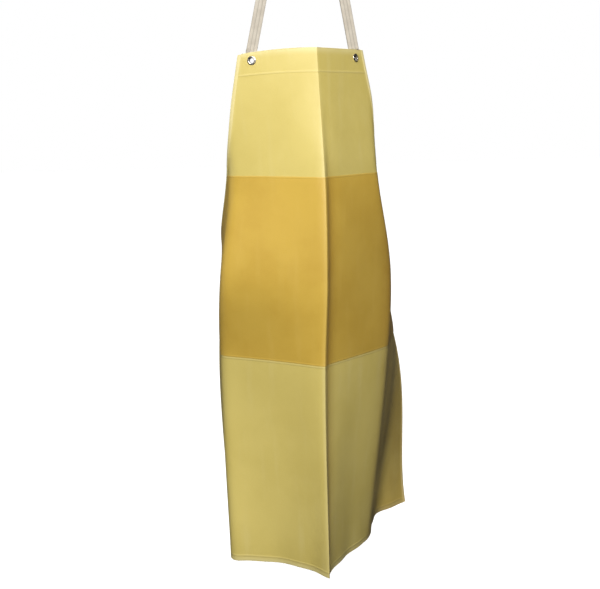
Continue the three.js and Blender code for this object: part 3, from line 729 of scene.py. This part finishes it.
def webbing(name, points, facings):
    centres, shares = smooth_route(points)
    knots, facings = range(len(facings)), np.array(facings)
    looks = np.stack([np.interp(shares, knots, facings[:, i]) for i in range(3)], 1)
    tangents = np.gradient(centres, axis=0)
    tangents /= np.linalg.norm(tangents, axis=1, keepdims=True)
    looks -= tangents * np.sum(looks * tangents, 1, keepdims=True)
    looks /= np.linalg.norm(looks, axis=1, keepdims=True)
    wide = np.cross(tangents, looks)
    run = np.concatenate([[0], np.cumsum(np.linalg.norm(np.diff(centres, axis=0), axis=1))])
    section = webbing_section()
    rings = []
    for centre, width_way, face_way in zip(centres, wide, looks):
        rings.append([(centre + width_way * a + face_way * n) * MM for a, n in section])
    maps = [[(a * MM, length * MM) for a, n in section] for length in run]
    piece = swept(name, rings, maps)
    print(name, "is", round(run[-1]), "mm long,", len(piece.data.polygons), "faces")
    return piece


strap = webbing("neck_webbing", *strap_route())
cut_holes(strap, ("bib", "left"))
soften(strap, 50)

# %% The loop on the right
loop_route = beside_eyelet("right", -4.6, -1, (-26, -14, 2, 14))
for turn in (30, 90, 150):
    a = math.radians(turn)
    n, up = -3.6 - 1.0 * math.cos(a), 15.9 + 1.0 * math.sin(a)
    faces = eyelet_direction("right", -math.cos(a), math.sin(a))
    loop_route.append((in_eyelet_frame("right", n, up), faces))
loop_route += beside_eyelet("right", -2.6, 1, (14, 2, -14, -26))
loop_points, loop_facings = zip(*loop_route)
strap_loop = webbing("strap_loop_webbing", list(loop_points), list(loop_facings))
cut_holes(strap_loop, ("bib", "right"))
soften(strap_loop, 50)

# %% [markdown]
# ## Stitches
#
# The folded ends of the webbing are sewn as well as clamped. One stitch is a small rounded bar of
# thread. It is modelled once and copied along each row, and the copies are joined into one piece.

# %% Sewing
def thread_stitch():
    bpy.ops.object.select_all(action="DESELECT")
    bpy.ops.mesh.primitive_uv_sphere_add(segments=8, ring_count=5, radius=0.5 * MM)
    stitch = bpy.context.object
    stitch.scale = (2.9, 0.8, 0.55)
    bpy.ops.object.transform_apply(scale=True)
    return stitch


def sew(name, rows):
    """rows: lists of (place, direction along the thread, direction off the cloth) in metres."""
    pattern = thread_stitch()
    copies = []
    for place, along, off in rows:
        copy = pattern.copy()
        copy.data = pattern.data.copy()
        bpy.context.scene.collection.objects.link(copy)
        side = off.cross(along).normalized()
        turn = Matrix((along, side, off)).transposed().to_4x4()
        copy.matrix_world = Matrix.Translation(place) @ turn
        copies.append(copy)
    bpy.data.objects.remove(pattern)
    bpy.ops.object.select_all(action="DESELECT")
    for copy in copies:
        copy.select_set(True)
    bpy.context.view_layer.objects.active = copies[0]
    bpy.ops.object.join()
    bpy.ops.object.transform_apply(location=True, rotation=True, scale=True)
    seam = bpy.context.object
    seam.name = name
    soften(seam, 60)
    return seam


def tab_stitches(side):
    place = EYELET_FRAMES["bib", side]
    across, up, out = (place.to_3x3().col[i].copy() for i in range(3))
    surface = -5.4
    rows = []
    for level in (-23, -13.5):
        for x in np.linspace(-9, 9, 6):
            rows.append((place @ Vector((x * MM, level * MM, surface * MM)), across, -out))
    for edge in (-10.5, 10.5):
        for level in np.linspace(-21, -15.5, 2):
            rows.append((place @ Vector((edge * MM, level * MM, surface * MM)), up, -out))
    return rows


stitches = {side: sew(f"tab_stitches_{side}", tab_stitches(side)) for side in ("left", "right")}
rise_up = Vector(on_rise("right", 100) - on_rise("right", 0)).normalized()
rise_across = rise_up.cross(Vector((0, -1, 0))).normalized()
end_rows = []
for height in (178, 184):
    middle = Vector(on_rise("right", height, 1.96 + 0.78)) * MM
    for x in np.linspace(-9.5, 9.5, 6):
        end_rows.append((middle + rise_across * x * MM, rise_across, Vector((0, 1, 0))))
stitches["tail"] = sew("tail_stitches", end_rows)

# %% [markdown]
# ## The slide adjuster
#
# The slide is a small cast frame: two rails, two bars in front of the webbing and one behind.
# Each bar is a bevelled block, and a fine remesh melts them into one casting with soft corners.

# %% Building the slide
def slide_bar(size, location):
    bpy.ops.object.select_all(action="DESELECT")
    bpy.ops.mesh.primitive_cube_add(size=1, location=[x * MM for x in location])
    bar = bpy.context.object
    bar.scale = [x * MM for x in size]
    bpy.ops.object.transform_apply(location=True, rotation=True, scale=True)
    rounding = bar.modifiers.new("rounding", "BEVEL")
    rounding.width = 0.75 * MM
    rounding.segments = 3
    bpy.ops.object.modifier_apply(modifier=rounding.name)
    return bar


bars = [slide_bar((2.6, 8.5, 20), (x, 0.95, 0)) for x in (-14.3, 14.3)]
bars += [slide_bar((31.2, 2.0, 2.6), (0, -2.3, z)) for z in (-8.7, 8.7)]
bars.append(slide_bar((31.2, 2.0, 2.6), (0, 4.2, 0)))
bpy.ops.object.select_all(action="DESELECT")
for bar in bars:
    bar.select_set(True)
bpy.context.view_layer.objects.active = bars[0]
bpy.ops.object.join()
slide = bpy.context.object
slide.name = "slide_adjuster"
melt = slide.modifiers.new("melt", "REMESH")
melt.mode = "VOXEL"
melt.voxel_size = 0.32 * MM
bpy.ops.object.modifier_apply(modifier=melt.name)
polish = slide.modifiers.new("polish", "SMOOTH")
polish.factor = 0.5
polish.iterations = 6
bpy.ops.object.modifier_apply(modifier=polish.name)
lean = Matrix.Rotation(-math.radians(STRAP_LEAN_DEGREES), 4, "Y")
slide.matrix_world = Matrix.Translation(Vector(on_rise("right", 150)) * MM) @ lean
bpy.ops.object.transform_apply(location=True, rotation=True, scale=True)
only(slide)
bpy.ops.object.shade_smooth()
print("slide:", len(slide.data.polygons), "faces")


# %% [markdown]
# ## Materials
#
# Coated cloth looks plain from a distance and busy close up: a fine weave printed through the
# coating, cloudy differences in colour and gloss, weld lines, paler worn edges, and a few faint
# scuffs. Every pattern reads the flat map in metres, so it follows the cloth round each bend.

# %% Node helpers
def finish_of(name):
    material = bpy.data.materials.new(name)
    material.use_nodes = True
    tree = material.node_tree
    shader = next(n for n in tree.nodes if n.type == "BSDF_PRINCIPLED")
    return material, tree, shader


def add_node(tree, kind, settings=None, **inputs):
    node = tree.nodes.new(kind)
    for key, value in (settings or {}).items():
        setattr(node, key, value)
    for key, value in inputs.items():
        numbered = key[0] == "i" and key[1:].isdigit()
        socket = node.inputs[int(key[1:]) if numbered else key]
        if isinstance(value, bpy.types.NodeSocket):
            tree.links.new(value, socket)
        else:
            socket.default_value = value
    return node


def maths(tree, operation, a, b=0.0, clamp=False):
    settings = {"operation": operation, "use_clamp": clamp}
    return add_node(tree, "ShaderNodeMath", settings, i0=a, i1=b).outputs[0]


def stretched(tree, place, scales):
    """The same place with each axis scaled, so that a pattern runs long one way."""
    node = add_node(tree, "ShaderNodeVectorMath", {"operation": "MULTIPLY"}, i0=place, i1=scales)
    return node.outputs[0]


def remap(tree, value, low, high, to_low=0.0, to_high=1.0):
    settings = {"interpolation_type": "SMOOTHSTEP"}
    names = {"Value": value, "From Min": low, "From Max": high, "To Min": to_low, "To Max": to_high}
    return add_node(tree, "ShaderNodeMapRange", settings, **names).outputs[0]


def noise(tree, vector, scale, detail=3.0, roughness=0.5):
    names = {"Vector": vector, "Scale": scale, "Detail": detail, "Roughness": roughness}
    return add_node(tree, "ShaderNodeTexNoise", None, **names).outputs[0]


def mix_colour(tree, share, a, b, mode="MIX"):
    node = add_node(tree, "ShaderNodeMix", {"data_type": "RGBA", "blend_type": mode})
    for socket, value in ((node.inputs[0], share), (node.inputs[6], a), (node.inputs[7], b)):
        if isinstance(value, bpy.types.NodeSocket):
            tree.links.new(value, socket)
        else:
            socket.default_value = value
    return node.outputs[2]


def bump(tree, height, distance, strength=1.0, below=None):
    names = {"Height": height, "Distance": distance, "Strength": strength}
    if below is not None:
        names["Normal"] = below
    return add_node(tree, "ShaderNodeBump", None, **names).outputs[0]


def flat_map(tree):
    uv = add_node(tree, "ShaderNodeUVMap", {"uv_map": "flat"}).outputs[0]
    split = add_node(tree, "ShaderNodeSeparateXYZ", None, i0=uv)
    return uv, split.outputs[0], split.outputs[1]


def ridges(tree, value, pitch):
    """A wave of this pitch in metres along a value."""
    return maths(tree, "SINE", maths(tree, "MULTIPLY", value, 2 * math.pi / pitch))


# %% Coated cloth
# Tint for the painted shade in the fold right of the crease.
PAINTED_FOLD_SHADE = (0.60, 0.50, 0.36, 1)
# Tint for the painted shade on the right side panel.
PAINTED_SIDE_SHADE = (0.74, 0.65, 0.55, 1)


def coated_cloth(name, colour, cloudy, worn, weld_lines=(), gloss=0.43):
    material, tree, shader = finish_of(name)
    uv, u, v = flat_map(tree)
    clouds = noise(tree, uv, 7.0, 4.0, 0.55)
    streaks = noise(tree, stretched(tree, uv, (38, 5, 1)), 1.0, 3.0)
    grain = noise(tree, uv, 620.0, 2.0, 0.6)
    weave = maths(tree, "MULTIPLY", ridges(tree, u, 0.0011), ridges(tree, v, 0.0011))
    shade = mix_colour(tree, remap(tree, clouds, 0.35, 0.68), colour, cloudy)
    shade = mix_colour(tree, remap(tree, streaks, 0.5, 0.8, 0, 0.16), shade, worn)
    specks = remap(tree, grain, 0.35, 0.75, 0.0, 0.10)
    shade = mix_colour(tree, specks, shade, (0.3, 0.22, 0.06, 1), "MULTIPLY")
    lines = None
    for line in weld_lines:
        near = maths(tree, "ABSOLUTE", maths(tree, "ADD", v, line))
        ridge = remap(tree, near, 0.0008, 0.0034, 1, 0)
        lines = ridge if lines is None else maths(tree, "MAXIMUM", lines, ridge)
    edge = add_node(tree, "ShaderNodeAttribute", {"attribute_name": "to_edge"}).outputs["Fac"]
    patchy = remap(tree, clouds, 0.3, 0.6, 0.45, 1)
    rub = maths(tree, "MULTIPLY", remap(tree, edge, 0.0, 0.016, 1, 0), patchy)
    # Paler line along the crease, stronger lower down: partly wear, partly a painted highlight.
    at_crease = remap(tree, maths(tree, "ABSOLUTE", u), 0.0, 0.010, 1, 0)
    crease = maths(tree, "MULTIPLY", at_crease, remap(tree, v, -0.32, -0.10, 0.5, 0.05))
    pale = maths(tree, "MAXIMUM", rub, crease)
    if lines is not None:
        pale = maths(tree, "MAXIMUM", pale, maths(tree, "MULTIPLY", lines, 0.26))
    shade = mix_colour(tree, maths(tree, "MULTIPLY", pale, 0.55), shade, worn)
    # Painted shade in the fold right of the crease, and painted shade browning the right side.
    near_side, far_side = remap(tree, u, 0.001, 0.006, 0, 1), remap(tree, u, 0.012, 0.055, 1, 0)
    fold_shade_band = maths(tree, "MULTIPLY", near_side, far_side)
    painted_fold_shade = maths(tree, "MULTIPLY", fold_shade_band, remap(tree, v, -0.36, -0.20, 0.60, 0.0))
    shade = mix_colour(tree, painted_fold_shade, shade, PAINTED_FOLD_SHADE, "MULTIPLY")
    # Painted shade: the right side panel, from 0.2 m out from the crease, darkens browner in
    # blotches.
    blotched = remap(tree, clouds, 0.25, 0.6, 0.55, 0.85)
    right_side_shade = maths(tree, "MULTIPLY", remap(tree, u, 0.20, 0.29, 0, 1), blotched)
    shade = mix_colour(tree, right_side_shade, shade, PAINTED_SIDE_SHADE, "MULTIPLY")
    scuffs = noise(tree, stretched(tree, uv, (60, 240, 1)), 1.0, 5.0, 0.7)
    marks = remap(tree, scuffs, 0.66, 0.78, 0, 0.25)
    shade = mix_colour(tree, marks, shade, worn)
    tree.links.new(shade, shader.inputs["Base Color"])
    rough = remap(tree, clouds, 0.3, 0.7, gloss - 0.05, gloss + 0.08)
    rough = maths(tree, "ADD", rough, maths(tree, "MULTIPLY", marks, 0.5))
    tree.links.new(rough, shader.inputs["Roughness"])
    shader.inputs["Specular IOR Level"].default_value = 0.38
    shader.inputs["Coat Weight"].default_value = 0.06
    shader.inputs["Coat Roughness"].default_value = 0.38
    shader.inputs["Sheen Weight"].default_value = 0.02
    low = bump(tree, clouds, 0.004, 0.35)
    low = bump(tree, weave, 0.00006, 0.8, low)
    low = bump(tree, grain, 0.00010, 0.6, low)
    if lines is not None:
        low = bump(tree, lines, 0.0005, 0.8, low)
    tree.links.new(low, shader.inputs["Normal"])
    return material


PALE_YELLOW = (0.640, 0.518, 0.152, 1)
YELLOW_CLOUD = (0.600, 0.480, 0.130, 1)
YELLOW_WORN = (0.730, 0.640, 0.320, 1)
OCHRE = (0.600, 0.395, 0.064, 1)
OCHRE_CLOUD = (0.550, 0.350, 0.050, 1)
OCHRE_WORN = (0.700, 0.500, 0.130, 1)
TAPE_YELLOW = (0.690, 0.575, 0.215, 1)
TAPE_CLOUD = (0.64, 0.525, 0.18, 1)
TAPE_WORN = (0.77, 0.68, 0.37, 1)
sheet_welds = (TOP_HEM * MM, (PATCH_BOTTOM + 3) * MM, (APRON_LENGTH - BOTTOM_HEM) * MM)
band_welds = ((PATCH_TOP + 1.5) * MM, (PATCH_BOTTOM - 1.5) * MM)
sheet_cloth = coated_cloth(
    "pale_yellow_coated_cloth", PALE_YELLOW, YELLOW_CLOUD, YELLOW_WORN, sheet_welds
)
band_cloth = coated_cloth("ochre_coated_cloth", OCHRE, OCHRE_CLOUD, OCHRE_WORN, band_welds, 0.40)
tape_cloth = coated_cloth("pale_binding_tape", TAPE_YELLOW, TAPE_CLOUD, TAPE_WORN, (), 0.48)


# %% [markdown]
# ### Webbing and thread
#
# Cotton webbing is undyed: warm grey-white, matt and a little hairy. Three ribs run along it, and
# a herringbone of warp and weft crosses them. The grooves between the ribs are coloured a shade
# darker.

# %% Cotton webbing
def cotton_webbing(name):
    material, tree, shader = finish_of(name)
    uv, u, v = flat_map(tree)
    slant = maths(tree, "ABSOLUTE", maths(tree, "WRAP", u, 0.0021))
    tree.nodes[-1].inputs[2].default_value = -0.0021
    weft = ridges(tree, maths(tree, "ADD", v, slant), 0.0014)
    warp = ridges(tree, u, 0.0010)
    weft_share, warp_share = maths(tree, "MULTIPLY", weft, 0.6), maths(tree, "MULTIPLY", warp, 0.4)
    weave = maths(tree, "ADD", weft_share, warp_share)
    fuzz = noise(tree, uv, 900.0, 3.0, 0.65)
    blotches = noise(tree, uv, 45.0, 3.0)
    ribs = maths(tree, "COSINE", maths(tree, "MULTIPLY", u, 2 * math.pi / 0.0081))
    groove = remap(tree, ribs, -1.0, -0.35, 1, 0)
    patchy = remap(tree, blotches, 0.3, 0.7)
    shade = mix_colour(tree, patchy, (0.66, 0.60, 0.50, 1), (0.56, 0.50, 0.41, 1))
    shade = mix_colour(tree, maths(tree, "MULTIPLY", groove, 0.55), shade, (0.33, 0.29, 0.23, 1))
    shade = mix_colour(tree, remap(tree, weave, -0.6, 0.5, 0.35, 0.0), shade, (0.38, 0.33, 0.26, 1))
    shade = mix_colour(tree, remap(tree, fuzz, 0.55, 0.8, 0, 0.3), shade, (0.80, 0.77, 0.70, 1))
    tree.links.new(shade, shader.inputs["Base Color"])
    tree.links.new(remap(tree, fuzz, 0.2, 0.8, 0.78, 0.95), shader.inputs["Roughness"])
    shader.inputs["Specular IOR Level"].default_value = 0.2
    shader.inputs["Sheen Weight"].default_value = 0.35
    shader.inputs["Sheen Roughness"].default_value = 0.5
    low = bump(tree, weave, 0.00022, 0.9)
    low = bump(tree, fuzz, 0.00012, 0.7, low)
    tree.links.new(low, shader.inputs["Normal"])
    return material


def sewing_thread(name):
    material, tree, shader = finish_of(name)
    place = add_node(tree, "ShaderNodeTexCoord").outputs["Object"]
    twist = noise(tree, place, 2600.0, 2.0)
    twisted = remap(tree, twist, 0.35, 0.65)
    shade = mix_colour(tree, twisted, (0.72, 0.68, 0.58, 1), (0.52, 0.48, 0.39, 1))
    tree.links.new(shade, shader.inputs["Base Color"])
    shader.inputs["Roughness"].default_value = 0.7
    shader.inputs["Sheen Weight"].default_value = 0.3
    tree.links.new(bump(tree, twist, 0.0001, 0.6), shader.inputs["Normal"])
    return material


# %% [markdown]
# ### Metal
#
# The eyelets are nickel on brass and the slide is plated steel. Plating is rarely even: it clouds,
# picks up hairline scratches, and yellows a little where fingers rub it.

# %% Plated metal
def plated_metal(name, colour, warm, rough):
    material, tree, shader = finish_of(name)
    place = add_node(tree, "ShaderNodeTexCoord").outputs["Object"]
    clouds = noise(tree, place, 160.0, 3.0)
    hairs = noise(tree, stretched(tree, place, (2600, 350, 500)), 1.0, 4.0, 0.7)
    shade = mix_colour(tree, remap(tree, clouds, 0.42, 0.72), colour, warm)
    shade = mix_colour(tree, remap(tree, hairs, 0.62, 0.8, 0, 0.4), shade, (0.28, 0.26, 0.22, 1))
    tree.links.new(shade, shader.inputs["Base Color"])
    dulled = remap(tree, clouds, 0.3, 0.75, rough - 0.07, rough + 0.14)
    tree.links.new(dulled, shader.inputs["Roughness"])
    shader.inputs["Metallic"].default_value = 1.0
    tree.links.new(bump(tree, hairs, 0.00004, 0.5), shader.inputs["Normal"])
    return material


cotton = cotton_webbing("natural_cotton_webbing")
thread = sewing_thread("undyed_thread")
nickel = plated_metal("worn_nickel", (0.66, 0.64, 0.60, 1), (0.60, 0.53, 0.40, 1), 0.25)
steel = plated_metal("plated_steel", (0.56, 0.56, 0.55, 1), (0.48, 0.46, 0.42, 1), 0.30)

# %% [markdown]
# ## Who carries what
#
# Each piece is given its finish, the body it moves with and the plain node it stands for.
# The strap is given no body.

# %% Finishes, bodies and replaced nodes
def dress(piece, material, slot, *nodes, body="apron"):
    piece.data.materials.clear()
    piece.data.materials.append(material)
    if body:
        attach(piece, body)
    if nodes:
        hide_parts(*nodes)


dress(sheet, sheet_cloth, "sheet", "apron_sheet")
dress(band, band_cloth, "patch", "belly_patch")
dress(facing, sheet_cloth, "sheet", "top_facing")
dress(hem, sheet_cloth, "sheet", "bottom_hem")
dress(top_fold, tape_cloth, "sheet")
dress(bottom_fold, tape_cloth, "sheet")
for side in ("left", "right"):
    dress(tapes[side], tape_cloth, "binding", f"edge_binding_{side}")
    dress(backings[side], sheet_cloth, "sheet", f"waist_patch_{side}")
    dress(stitches[side], thread, "webbing")
    for place in ("bib", "waist"):
        dress(eyelets[place, side], nickel, "nickel", f"{place}_eyelet_{side}")
        dress(washers[place, side], nickel, "nickel", f"{place}_washer_{side}")
dress(strap_loop, cotton, "webbing", "strap_loop_right")
dress(slide, steel, "slider", "strap_slider", body="slider")
dress(stitches["tail"], thread, "webbing", body="neck")
dress(strap, cotton, "webbing", "neck_strap", "strap_tail", "strap_tab_left", body=None)
hinge = next(j for j in frame["joints"] if j["name"] == "apron_swing")
hinge_point, hinge_axis = Vector(hinge["pos_m"]), Vector(hinge["axis"]).normalized()
downwards = hinge_axis.cross(Vector((0, 1, 0))).normalized()
if downwards.z > 0:
    downwards = -downwards
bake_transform(strap)
for cutter in CUTTERS.values():
    bpy.data.objects.remove(cutter)

# %% The pieces that lie on the sheet
on_sheet = [facing, hem, top_fold, bottom_fold, *tapes.values(), *backings.values()]
on_sheet += [*eyelets.values(), *washers.values()]

# %% [markdown]
# ## Studio
#
# The floor and the air round the apron are plain and pale. One large soft lamp in front, a little
# to the left and above, lights the left panel and grazes the right one. A weak wide lamp on the
# left keeps the side from going black, and the right side is left to fall dark.

# %% Floor and world
bpy.ops.object.select_all(action="DESELECT")
bpy.ops.mesh.primitive_plane_add(size=40, location=(0, 0, -1.80))
floor = bpy.context.object
floor.name = "studio_floor"
floor_paint, _, floor_shader = finish_of("floor_paint")
floor_shader.inputs["Base Color"].default_value = (0.93, 0.93, 0.93, 1)
floor_shader.inputs["Roughness"].default_value = 0.9
floor_shader.inputs["Specular IOR Level"].default_value = 0.0
floor_shader.inputs["Emission Color"].default_value = (1, 1, 1, 1)
floor_shader.inputs["Emission Strength"].default_value = 0.52
floor.data.materials.append(floor_paint)
floor.visible_diffuse = False
floor.visible_glossy = False

world = bpy.data.worlds.new("studio_air")
bpy.context.scene.world = world
world.use_nodes = True
air = world.node_tree
background = next(n for n in air.nodes if n.type == "BACKGROUND")
rays = add_node(air, "ShaderNodeLightPath").outputs["Is Camera Ray"]
background.inputs["Color"].default_value = (1, 1, 1, 1)
air.links.new(remap(air, rays, 0.0, 1.0, 0.030, 1.0), background.inputs["Strength"])


# %% Lamps
def soft_lamp(name, azimuth, height, distance, size, power, aim=(0.03, -0.15, -0.72)):
    """Azimuth in degrees: 0 is straight in front, negative is to the left."""
    data = bpy.data.lights.new(name, "AREA")
    data.shape = "RECTANGLE"
    data.size, data.size_y = size
    data.energy = power
    lamp = bpy.data.objects.new(name, data)
    turn, rise = math.radians(azimuth), math.radians(height)
    level = math.cos(rise)
    towards = Vector((math.sin(turn) * level, -math.cos(turn) * level, math.sin(rise)))
    lamp.location = Vector(aim) + towards * distance
    lamp.rotation_euler = towards.to_track_quat("Z", "Y").to_euler()
    bpy.context.scene.collection.objects.link(lamp)
    return lamp


soft_lamp("key_lamp", -21, 32, 3.9, (1.3, 1.3), 216)
soft_lamp("left_fill", -110, 8, 3.0, (2.0, 2.4), 8)
sky = bpy.data.lights.new("overhead_wash", "SUN")
sky.energy = 2.1
sky.angle = math.radians(70)
overhead = bpy.data.objects.new("overhead_wash", sky)
overhead.rotation_euler = (math.radians(-25), 0, 0)
bpy.context.scene.collection.objects.link(overhead)
bpy.context.scene.view_settings.view_transform = "Standard"
